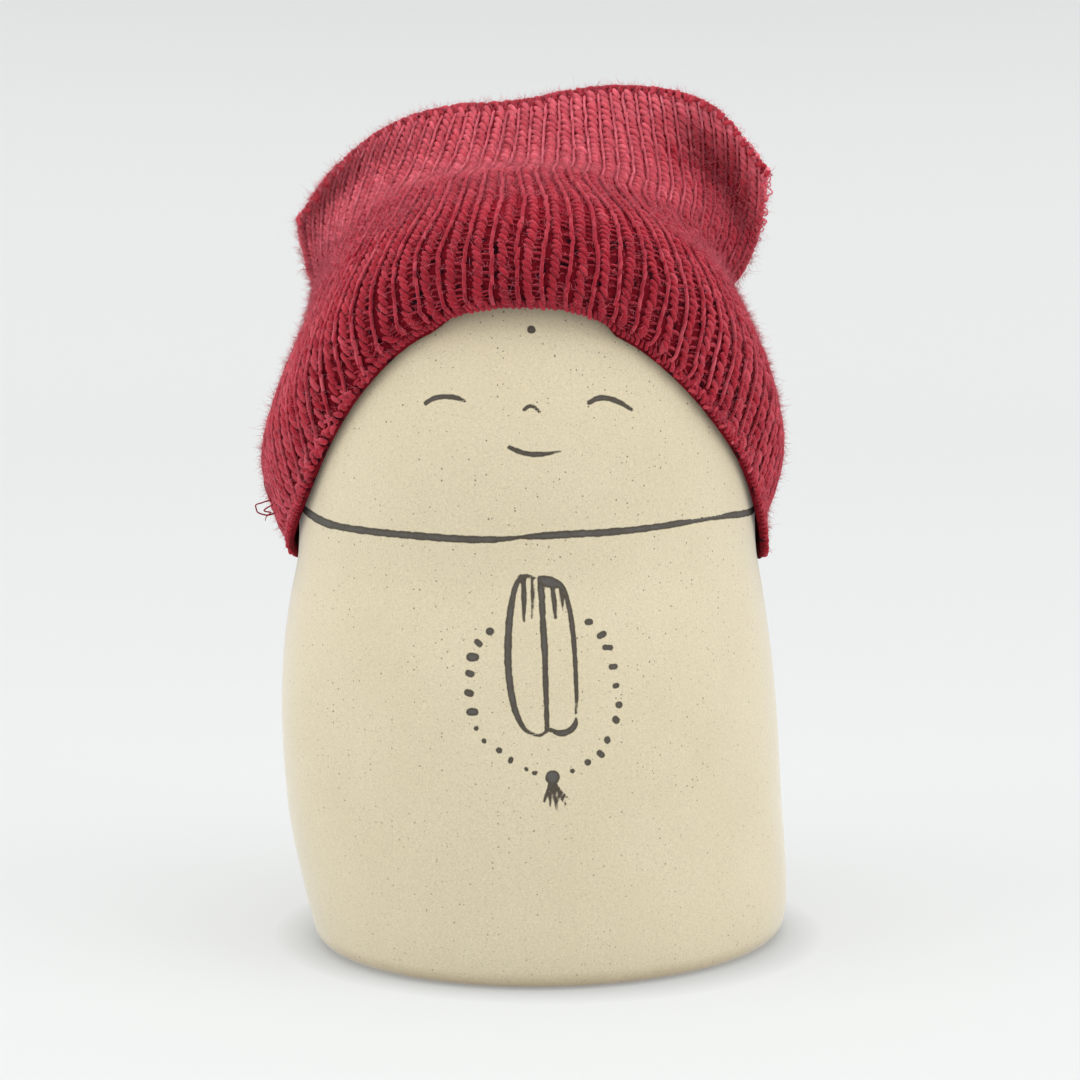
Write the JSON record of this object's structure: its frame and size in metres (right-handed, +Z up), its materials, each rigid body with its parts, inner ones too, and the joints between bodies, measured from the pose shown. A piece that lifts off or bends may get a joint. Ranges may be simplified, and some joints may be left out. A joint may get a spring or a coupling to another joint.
{
  "type": "ceramic jizo figurine",
  "caption": "Small rounded stoneware jizo figure with closed eyes and folded hands painted in thin lines, wearing a loose ribbed wool cap.",
  "frame": {"origin": "centre of the flat underside, on the surface that the figure stands on", "axes": "+Z up through the head, -Y towards the face, +X to the viewer's right when the face is looked at"},
  "size_m": [0.0871, 0.0818, 0.1403],
  "materials": {
    "stoneware": "unglazed speckled buff stoneware, fired matt, with thin brushed iron-brown lines",
    "wool": "rib-knitted wool yarn, deep red, slightly fuzzy"
  },
  "bodies": {
    "root": {"stoneware_figure": "stoneware", "knit_cap": "wool"}
  },
  "joints": []
}
